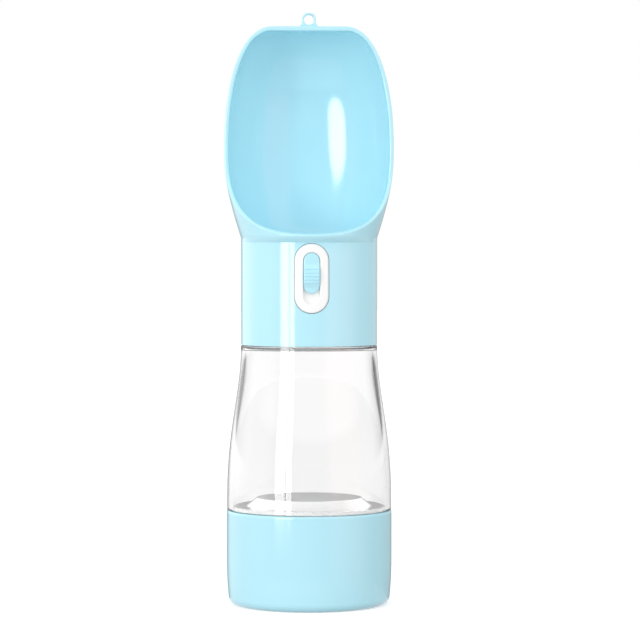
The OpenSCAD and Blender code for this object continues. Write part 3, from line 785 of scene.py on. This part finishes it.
# %% The scoop
# the ceiling rises a little over the button's hole, in front
ARCH_RISE, ARCH_HALF_W = 1.3, 7
arch = np.exp(-((NECK_IN_R * np.cos(t_ring) / ARCH_HALF_W) ** 4)) * (np.sin(t_ring) < 0)
ceiling_z = CEILING_Z + ARCH_RISE * arch
plug_r = NECK_IN_R - 0.02
hole_low = circle(OUTLET_R, CEILING_Z, VALVE_Y)
hole_high = circle(OUTLET_R, FLOOR_IN_Z, VALVE_Y)
scoop = piece(
    "scoop_skin",
    [
        (outer[0], True), (outer[1], False), (outer[2], False), (crown_right, False),
        (crown_left, False), (inner[0], True), (inner[1], False), (inner[2], False),
        (between(hole_high, inner[0][0], 20), True), (between(hole_low, hole_high, 4), True),
        (between(circle(plug_r, ceiling_z), hole_low, 16), True),
        (between(circle(plug_r, LIP_Z0), circle(plug_r, ceiling_z), 3), True),
        (between(outer[0][0], circle(plug_r, LIP_Z0), 4), True),
    ],
    "head", ["scoop_bowl"], blue_abs, sharp=38.0,
)

# %% [markdown]
# ## The button and its lock
# The button's face is curved like the neck. It is drawn as rings of ovals with the same
# number of points: round the outer edge, over the face, down into the recess, through the
# slot for the lock's neck and back out behind. The slider is a relief on an oval, because
# its grip is a ribbed hump: the height is the higher of the face and the hump.

# %% Ovals
ARC_STEPS, SIDE_STEPS = 32, 16


def oval_ring(width, height):
    """Points (x, z) of a stadium from its right side round over the top, evenly divided."""
    r, h = width / 2, (height - width) / 2
    a = np.linspace(0, math.pi, ARC_STEPS, endpoint=False)
    side = np.linspace(h, -h, SIDE_STEPS, endpoint=False)
    top = np.stack([r * np.cos(a), h + r * np.sin(a)], axis=1)
    left = np.stack([0 * side - r, side], axis=1)
    return np.concatenate([top, left, -top, -left])


def curved(width, height, radius):
    """An oval lying on an upright cylinder."""
    p = oval_ring(width, height)
    return np.stack([p[:, 0], -np.sqrt(radius**2 - p[:, 0] ** 2), p[:, 1] + BUTTON_Z], axis=1)


def flat(width, height, y):
    """An oval lying in an upright plane."""
    p = oval_ring(width, height)
    return np.stack([p[:, 0], 0 * p[:, 0] + y, p[:, 1] + BUTTON_Z], axis=1)


def steps(start, end, count):
    """Rings between two rings, both included."""
    t = np.linspace(0, 1, count + 1)[:, None, None]
    return list(start * (1 - t) + end * t)


def box_grids(low, high):
    """A small box as two grids: its four sides, and its two ends as one strip each."""
    (x0, y0, z0), (x1, y1, z1) = low, high
    loop = [[x0, y0], [x1, y0], [x1, y1], [x0, y1]]
    sides = np.array([[[x, y, z] for x, y in loop] for z in (z0, z1)], float)
    order = [[0, 1], [3, 2]]
    ends = [np.array([[loop[k] + [z] for k in row] for row in order], float) for z in (z0, z1)]
    return [(sides, True)] + [(end, False) for end in ends]


def tube_along_y(x, z, r_in, r_out, y0, y1, columns=32):
    """A short tube lying along Y, closed at both ends."""
    a = np.linspace(0, 2 * math.pi, columns, endpoint=False)
    rings = [(r_in, y0), (r_out, y0), (r_out, y1), (r_in, y1), (r_in, y0)]
    return np.stack([
        np.stack([x + r * np.cos(a), 0 * a + y, z + r * np.sin(a)], axis=1) for r, y in rings
    ])


# %% Button
FACE_R, RECESS_W, RECESS_H, RECESS_Y = 30.6, 7.3, 22.3, -28.3
BACK_Y, INNER_Y, EDGE, LIP = -24.0, -26.7, 0.9, 0.45
SLIDER_Z, LOCK_TRAVEL = 145.8, 4.6
SLOT_W, SLOT_H, SLOT_Z = 3.4, 9.2, SLIDER_Z - LOCK_TRAVEL / 2
HOLLOW_W, HOLLOW_H = 11.0, 26.0
POST_UP, POST_HOLE_R, POST_R = 11.3, 1.05, 2.2
RAIL_X, RAIL_HALF_W, RAIL_OUT, RAIL_HALF_H = 8.25, 0.95, 1.9, 11.5
beta = np.linspace(0, math.pi / 2, 8)
back_edge = flat(BUTTON_W, BUTTON_H, BACK_Y)
rings = steps(back_edge, curved(BUTTON_W, BUTTON_H, FACE_R - EDGE), 6)[:-1]
rings += [
    curved(
        BUTTON_W - 2 * EDGE * (1 - c), BUTTON_H - 2 * EDGE * (1 - c), FACE_R - EDGE * (1 - s),
    )
    for c, s in zip(np.cos(beta), np.sin(beta))
]
rings += [
    curved(
        BUTTON_W - 2 * EDGE + (RECESS_W + 2 * LIP - BUTTON_W + 2 * EDGE) * t,
        BUTTON_H - 2 * EDGE + (RECESS_H + 2 * LIP - BUTTON_H + 2 * EDGE) * t, FACE_R,
    )
    for t in np.linspace(0, 1, 7)[1:-1]
]
rings += [
    curved(RECESS_W + 2 * LIP * (1 - s), RECESS_H + 2 * LIP * (1 - s), FACE_R - LIP * (1 - c))
    for c, s in zip(np.cos(beta), np.sin(beta))
]
floor_edge = flat(RECESS_W, RECESS_H, RECESS_Y)
slot = flat(SLOT_W, SLOT_H, RECESS_Y) + np.array([0, 0, SLOT_Z - BUTTON_Z])
rings += steps(rings[-1], floor_edge, 4)[1:] + steps(floor_edge, slot, 3)[1:]
slot_back = slot + np.array([0, INNER_Y - RECESS_Y, 0])
hollow = flat(HOLLOW_W, HOLLOW_H, INNER_Y)
rings += [slot_back, hollow, hollow + np.array([0, BACK_Y - INNER_Y, 0]), rings[0]]
button_grids = [(np.stack(rings), True)]
# a screw post above and below, and a guide rail at each side
for side in (-1, 1):
    post_z = BUTTON_Z + side * POST_UP
    post = tube_along_y(0, post_z, POST_HOLE_R, POST_R, INNER_Y - 0.2, BACK_Y)
    button_grids.append((post, True))
    button_grids += box_grids(
        (side * RAIL_X - RAIL_HALF_W, BACK_Y - RAIL_OUT, BUTTON_Z - RAIL_HALF_H),
        (side * RAIL_X + RAIL_HALF_W, BACK_Y, BUTTON_Z + RAIL_HALF_H),
    )
piece("button_skin", button_grids, "button", ["button"], white_abs)

# %% Lock slider
SLIDER_W, SLIDER_H = RECESS_W - 0.3, 17.6
HUMP_Z, HUMP_R, HUMP_Y, RIB_R, RIB_STEP = SLIDER_Z - 1.2, 8.0, -32.0, 0.32, 1.5
SLIDER_ROWS, END_ROWS, SLIDER_COLUMNS, SLIDER_EDGE = 241, 40, 33, 0.7
RIBS_REACH, BLEND = 2.4, 0.12
end_r = SLIDER_W / 2
straight = SLIDER_H / 2 - end_r
turn = np.linspace(0, math.pi / 2, END_ROWS)
dz = np.concatenate([
    -straight - end_r * np.cos(turn),
    np.linspace(-straight, straight, SLIDER_ROWS - 2 * END_ROWS + 2)[1:-1],
    straight + end_r * np.sin(turn),
])
chord = np.sqrt(np.maximum(end_r**2 - np.maximum(np.abs(dz) - straight, 0) ** 2, 0))
across = np.sin(math.pi / 2 * np.linspace(-1, 1, SLIDER_COLUMNS))
x = chord[:, None] * across
z = dz[:, None] + 0 * x
# distance in from the oval's edge
inward = end_r - np.hypot(x, np.maximum(np.abs(z) - straight, 0))
drop = SLIDER_EDGE * (1 - np.sqrt(1 - (1 - np.clip(inward / SLIDER_EDGE, 0, 1)) ** 2))
face = np.sqrt((FACE_R - 0.3) ** 2 - x**2)
along = z + SLIDER_Z - HUMP_Z
hump = -HUMP_Y - HUMP_R + np.sqrt(np.maximum(HUMP_R**2 - along**2, 0))
off_rib = along - RIB_STEP * np.round(along / RIB_STEP)
rib = np.sqrt(np.maximum(RIB_R**2 - off_rib**2, 0))
rib = rib * (np.abs(along) < RIBS_REACH * RIB_STEP)
# the higher of face and hump, blended where they meet
height = (face + hump) / 2 + np.sqrt(((face - hump) / 2) ** 2 + BLEND**2) + rib - drop
front = np.stack([x, -height, z + SLIDER_Z], axis=-1)
rear = front.copy()
rear[..., 1] = RECESS_Y - 0.05
rim_right = np.stack([front[:, -1], rear[:, -1]])
rim_left = np.stack([front[:, 0], rear[:, 0]])
slider_grids = [(front, False), (rear, False), (rim_right, False), (rim_left, False)]
# the neck that goes through the button's slot
slider_grids += box_grids(
    (-1.4, RECESS_Y - 0.5, SLIDER_Z - 2), (1.4, RECESS_Y + 2.7, SLIDER_Z + 2),
)
piece(
    "slider_skin", slider_grids, "lock", ["lock_slider"], blue_abs, sharp=50.0,
)

# %% [markdown]
# ## The hanging eye
# A small loop stands on the flat top, with a gusset flaring out at each side. Its section
# is a rounded rectangle, carried round between the hole's outline and the loop's.

# %% Hanging eye
EYE_Z, EYE_Y0, EYE_Y1 = 256.95, 1.6, 4.0
EYE_W, EYE_HOLE_W, EYE_HOLE_UP, EYE_ROOT, EYE_FOOT = 3.05, 2.2, 2.2, 253.45, 5.2
EYE_ROUND, EYE_DOME_Z, EYE_DOME_H, EYE_POWER = 0.4, 256.6, 3.4, 2.6
GUSSET_Z, GUSSET_H = 256.2, 2.4
climb = np.concatenate([
    np.linspace(EYE_ROOT, EYE_DOME_Z, 36, endpoint=False),
    EYE_DOME_Z + EYE_DOME_H * np.sin(np.linspace(0, math.pi / 2, 37)),
])
q = np.clip((GUSSET_Z - climb) / GUSSET_H, 0, 1)
dome = (np.maximum(climb - EYE_DOME_Z, 0) / EYE_DOME_H) ** EYE_POWER
half = np.where(
    climb < EYE_DOME_Z,
    EYE_W + (EYE_FOOT - EYE_W) * (1 - np.sqrt(1 - q**2)),
    EYE_W * np.clip(1 - dome, 0, 1) ** (1 / EYE_POWER),
)
foot_x = np.linspace(0, half[0], 8, endpoint=False)
right_side = np.concatenate([
    np.stack([foot_x, 0 * foot_x + EYE_ROOT], axis=1), np.stack([half, climb], axis=1),
])
left_side = right_side[::-1][1:-1] * np.array([-1, 1])
loop_out = np.concatenate([right_side, left_side])
a = np.linspace(-math.pi / 2, 1.5 * math.pi, len(loop_out), endpoint=False)
loop_in = np.stack([EYE_HOLE_W * np.cos(a), EYE_Z + EYE_HOLE_UP * np.sin(a)], axis=1)
c, e = np.linspace(0, math.pi / 2, 5), EYE_ROUND
rise, run = e * (1 - np.cos(c)), e * (1 - np.sin(c))
# the section's corners: how far along from the hole's edge or the loop's, and its y
ends = np.repeat([0.0, 1.0, 1.0, 0.0], len(c))
offset = np.concatenate([rise, -run, -rise, run])
depth = np.concatenate([EYE_Y0 + run, EYE_Y0 + rise, EYE_Y1 - run, EYE_Y1 - rise])
gap = np.linalg.norm(loop_out - loop_in, axis=1)[:, None]
place = (ends * gap + offset) / gap
xz = loop_in[:, None] + (loop_out - loop_in)[:, None] * place[..., None]
eye_grid = np.stack([xz[..., 0], depth + 0 * xz[..., 0], xz[..., 1]], axis=-1)
eye_grid = np.concatenate([eye_grid, eye_grid[:1]])
piece("eye_skin", [(eye_grid, True)], "head", ["hanging_eye"], blue_abs)

# %% [markdown]
# ## The two springs
# They are out of sight. In the bottle they shorten when the button is pressed; here each is
# drawn once, at its CAD node's length, and rides on its body. A spring is a circle of wire
# carried along a helix whose first and last turns lie flat. Its length and place are read
# from the frame.

# %% Springs
WIRE_COLUMNS, RINGS_PER_TURN, SPRING_TURNS, FLAT_SHARE, EVEN_SHARE = 12, 32, 4, 0.12, 0.16


def spring_grid(coil_r, wire, height):
    """Wire circles along a helix: the height rises by the even share all along, and by the
    rest between the flat ends. A row of one repeated point closes each end."""
    u = np.linspace(0, 1, SPRING_TURNS * RINGS_PER_TURN + 1)[:, None]
    rise = np.clip((u - FLAT_SHARE) / (1 - 2 * FLAT_SHARE), 0, 1)
    z = wire / 2 + (height - wire) * (EVEN_SHARE * u + (1 - EVEN_SHARE) * rise)
    turn = 2 * math.pi * SPRING_TURNS * u
    b = np.linspace(0, 2 * math.pi, WIRE_COLUMNS, endpoint=False)
    r = coil_r + wire / 2 * np.cos(b)
    z = z + wire / 2 * np.sin(b)
    wire_rows = np.stack([r * np.cos(turn), r * np.sin(turn), z], axis=-1)
    ends = wire_rows[[0, -1]].mean(axis=1, keepdims=True) + 0 * wire_rows[[0, -1]]
    return np.concatenate([ends[:1], wire_rows, ends[1:]])


def spring(name, cad_node, coil_r, wire, along, body):
    """A spring in its CAD node's box, along Y or Z from the box's low end, as long as the box."""
    low, high = (np.array(corner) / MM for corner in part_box(cad_node))
    centre = (low + high) / 2
    height = (high - low)[along]
    base = centre.copy()
    base[along] = low[along]
    grid = spring_grid(coil_r, wire, height)
    if along == 1:
        grid = np.stack([grid[..., 0], grid[..., 2], -grid[..., 1]], axis=-1)
    obj = piece(name, [(grid + base, True)], body, [cad_node], steel)
    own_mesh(obj)


spring("button_spring_wire", "button_spring", 4.2, 0.7, 1, "button")
spring("valve_spring_wire", "valve_spring", 2.4, 0.6, 2, "valve")

# %% [markdown]
# ## The studio
# The bottle stands on a white sweep inside a white tent, as in a catalogue picture. The
# bright stripe down the neck and the clear wall is two strip lamps, side by side at the
# front left: their lower end is seen in the wall down to the seam, and fades out over the
# top of the cup. An oval lamp makes the highlight in the bowl, and a key lamp lights the
# matt colour of every piece. The tent's levels differ by direction, and also between what
# polished plastic mirrors, what lights a matt surface and what is seen through the clear
# wall. A grey card behind the bottle and bright cloth above it show only in the last.

# %% Floor, tent and world
def stage_mesh(name, points, columns, closed, material):
    """A part of the studio, from a grid of points in metres."""
    mesh = bpy.data.meshes.new(name)
    faces = grid_faces(len(points) // columns, columns, 0, closed)
    mesh.from_pydata(points.tolist(), [], faces.tolist())
    mesh.materials.append(material)
    obj = bpy.data.objects.new(name, mesh)
    scene.collection.objects.link(obj)
    return obj


FLOOR_HALF, FLOOR_GLOW, FLOOR_THROUGH, PAPER = 6.0, 0.56, 0.33, 0.65
floor_material = bpy.data.materials.new("white_sweep")
floor_material.use_nodes = True
tree = floor_material.node_tree
tree.nodes.clear()
paper = node(tree, "ShaderNodeBsdfDiffuse", {"Color": (PAPER, PAPER, PAPER, 1.0)})
rays = node(tree, "ShaderNodeLightPath").outputs
seen = node(tree, "ShaderNodeMath", {"operation": "MAXIMUM"})
tree.links.new(rays["Is Camera Ray"], seen.inputs[0])
tree.links.new(rays["Is Glossy Ray"], seen.inputs[1])
# from nothing to the glow for what is seen, and the smaller glow for what is seen through
# the clear wall, whose own reflections add to it
white = node(tree, "ShaderNodeMapRange", {"To Max": FLOOR_GLOW}, {"Value": seen.outputs[0]})
level = node(tree, "ShaderNodeMix", {"data_type": "FLOAT"})
tree.links.new(rays["Is Transmission Ray"], level.inputs[MIX_FACTOR])
tree.links.new(white.outputs[0], level.inputs[NUMBER_A])
level.inputs[NUMBER_B].default_value = FLOOR_THROUGH
glow = node(tree, "ShaderNodeEmission", {}, {"Strength": level.outputs[0]})
both = node(tree, "ShaderNodeAddShader")
tree.links.new(paper.outputs[0], both.inputs[0])
tree.links.new(glow.outputs[0], both.inputs[1])
node(tree, "ShaderNodeOutputMaterial", {}, {"Surface": both.outputs[0]})
corners = np.array([[-1, -1], [1, -1], [-1, 1], [1, 1]]) * FLOOR_HALF
# the glow is only seen, and isn't a lamp: rays that meet it count, and none are aimed at it
floor_material.cycles.emission_sampling = "NONE"
sweep = stage_mesh("sweep", np.column_stack([corners, np.zeros(4)]), 2, False, floor_material)

# Azimuth from the front (-Y), positive to the right, and the tent's levels there: what
# polished plastic mirrors (a warm lamp stands at the right), what lights a matt surface,
# and what is seen through the clear wall.
TENT_R, TENT_H, TENT_COLUMNS = 2.2, 2.6, 360
LEVELS = np.array([
    # azimuth, mirrored, warm lamp, matt, through
    [-180, 0.4, 0, 0.9, 0.99],
    [-172, 0.3, 0, 0.9, 1.0],
    [-160, 0.45, 0, 0.9, 0.97],
    [-146, 1.8, 0, 0.9, 0.9],
    [-125, 1.9, 0, 0.95, 1.05],
    [-95, 1.2, 0, 1.05, 1.0],
    [-66, 1.0, 0, 1.12, 1.0],
    [-56, 0.45, 0, 1.16, 0.95],
    [-22, 0.43, 0, 1.3, 0.95],
    [20, 0.43, 0, 1.36, 0.95],
    [32, 1.0, 0.6, 1.26, 1.0],
    [70, 1.0, 0.6, 0.9, 1.0],
    [84, 0.9, 0, 0.54, 1.0],
    [110, 0.85, 0, 0.35, 1.05],
    [148, 0.85, 0, 0.4, 0.9],
    [164, 0.45, 0, 0.9, 1.0],
    [180, 0.4, 0, 0.9, 0.99],
])
# Heights of the tent's rings. Polished plastic mirrors less of what lies lower than the
# floor's edge. Seen through the wall, a grey card hangs behind, higher than the bottle's
# own background, and the cloth is bright above it: that lights the floor inside.
RING_Z = [-0.4, -0.16, 0.02, 0.06, 0.1, 0.4, 0.5, TENT_H]
MIRRORED_SHARE = [0.6, 0.6, 1.0, 1.0, 1.0, 1.0, 1.0, 1.0]
CARD_SHARE = [0, 0, 0, 0, 1, 1, 0, 0]
HIGH_SHARE = [0, 0, 0, 0, 0, 0, 1, 1]
CARD, HIGH = 0.1, 2.4
CARD_SIDES = [105, 125]  # the card's level comes in between these azimuths
azimuth = np.arange(-180, 180, 360 / TENT_COLUMNS)
mirrored, warm, matt_level, through = (
    np.interp(azimuth, LEVELS[:, 0], column)[:, None] for column in LEVELS.T[1:]
)
a = np.radians(azimuth)
around = np.stack([TENT_R * np.sin(a), -TENT_R * np.cos(a)], axis=1)
tent_points = np.concatenate([
    np.column_stack([around, np.full(TENT_COLUMNS, z)]) for z in RING_Z
])
one = np.ones((len(RING_Z), TENT_COLUMNS, 3))
share = np.array([MIRRORED_SHARE, CARD_SHARE, HIGH_SHARE])[:, :, None, None]
behind = share[1] * np.interp(np.abs(azimuth), CARD_SIDES, [0, 1])[:, None]
through = one * through
through = (through * (1 - behind) + CARD * behind) * (1 - share[2]) + HIGH * share[2]
layers = {
    "Is Glossy Ray": one * share[0] * (mirrored + warm * [1.0, 0.0, 0.0]),
    "Is Diffuse Ray": one * matt_level,
    "Is Transmission Ray": through,
}
cloth = bpy.data.materials.new("tent_cloth")
cloth.use_nodes = True
tree = cloth.node_tree
tree.nodes.clear()
kind = node(tree, "ShaderNodeLightPath").outputs
tent = stage_mesh("tent", tent_points, TENT_COLUMNS, True, cloth)
# a ray that has gone through clear plastic counts as glossy too, so that is taken off
only_glossy = node(tree, "ShaderNodeMath", {"operation": "SUBTRACT", "use_clamp": True})
tree.links.new(kind["Is Glossy Ray"], only_glossy.inputs[0])
tree.links.new(kind["Is Transmission Ray"], only_glossy.inputs[1])
# one emission for each kind of ray, added up
total = None
for name, values in layers.items():
    layer = tent.data.attributes.new(name, "FLOAT_COLOR", "POINT")
    colours = np.concatenate([values, one[..., :1]], axis=-1)
    layer.data.foreach_set("color", colours.ravel().astype(np.float32))
    strength = only_glossy.outputs[0] if name == "Is Glossy Ray" else kind[name]
    cloth_level = node(tree, "ShaderNodeAttribute", {"attribute_name": name}).outputs["Color"]
    glow = node(
        tree, "ShaderNodeEmission", {}, {"Color": cloth_level, "Strength": strength},
    ).outputs[0]
    if total is not None:
        both = node(tree, "ShaderNodeAddShader")
        tree.links.new(total, both.inputs[0])
        tree.links.new(glow, both.inputs[1])
        glow = both.outputs[0]
    total = glow
node(tree, "ShaderNodeOutputMaterial", {}, {"Surface": total})
cloth.cycles.emission_sampling = "NONE"
tent.visible_camera = False
tent.visible_shadow = False
sweep.visible_glossy = False

world = bpy.data.worlds.new("studio")
scene.world = world
world.use_nodes = True
world.node_tree.nodes.clear()
sky = node(world.node_tree, "ShaderNodeBackground", {"Color": (1, 1, 1, 1), "Strength": 1.0})
node(world.node_tree, "ShaderNodeOutputWorld", {}, {"Surface": sky.outputs[0]})

# %% Lamps
LAMP_DISTANCE = 1.2


def soft_box(name, azimuth_deg, heights, width, radiance, shape="RECTANGLE", lit=(), unlit=(),
             matt=False):
    """An upright lamp facing the axis, between two heights. A lamp's power is its radiance
    times pi times its area. Flags and grids can keep it to the lit pieces, or off the
    unlit ones. A matt lamp lights only the matt colour, and any other is only mirrored."""
    low_z, high_z = heights
    data = bpy.data.lights.new(name, "AREA")
    data.shape = shape
    data.size = width
    data.size_y = high_z - low_z
    area = width * (high_z - low_z) * (math.pi / 4 if shape == "ELLIPSE" else 1)
    data.energy = radiance * math.pi * area
    lamp = bpy.data.objects.new(name, data)
    a = math.radians(azimuth_deg)
    lamp.location = (
        LAMP_DISTANCE * math.sin(a), -LAMP_DISTANCE * math.cos(a), (low_z + high_z) / 2,
    )
    lamp.rotation_euler = (math.radians(90), 0, a)
    lamp.visible_camera = False
    lamp.visible_diffuse, lamp.visible_glossy = matt, not matt
    lamp.visible_transmission = False
    scene.collection.objects.link(lamp)
    if not lit and not unlit:
        return
    group = bpy.data.collections.new(name + "_reach")
    lamp.light_linking.receiver_collection = group
    for obj in (*lit, *unlit):
        group.objects.link(obj)
    for obj, entry in zip((*lit, *unlit), group.collection_objects):
        entry.light_linking.link_state = "INCLUDE" if obj in lit else "EXCLUDE"


# two strips side by side: a thin dark line runs between them in the gloss
STRIP_HEIGHTS = (-0.07, 0.53)
soft_box("wide_strip", -43.1, STRIP_HEIGHTS, 0.295, 9.0, unlit=[scoop])
soft_box("thin_strip", -30.3, STRIP_HEIGHTS, 0.15, 9.0, unlit=[scoop])
soft_box("oval_box", -40.5, (0.03, 0.47), 0.53, 11.0, "ELLIPSE", lit=[scoop])
soft_box("key_box", -43.0, (0.05, 0.4), 0.14, 12.0, matt=True)
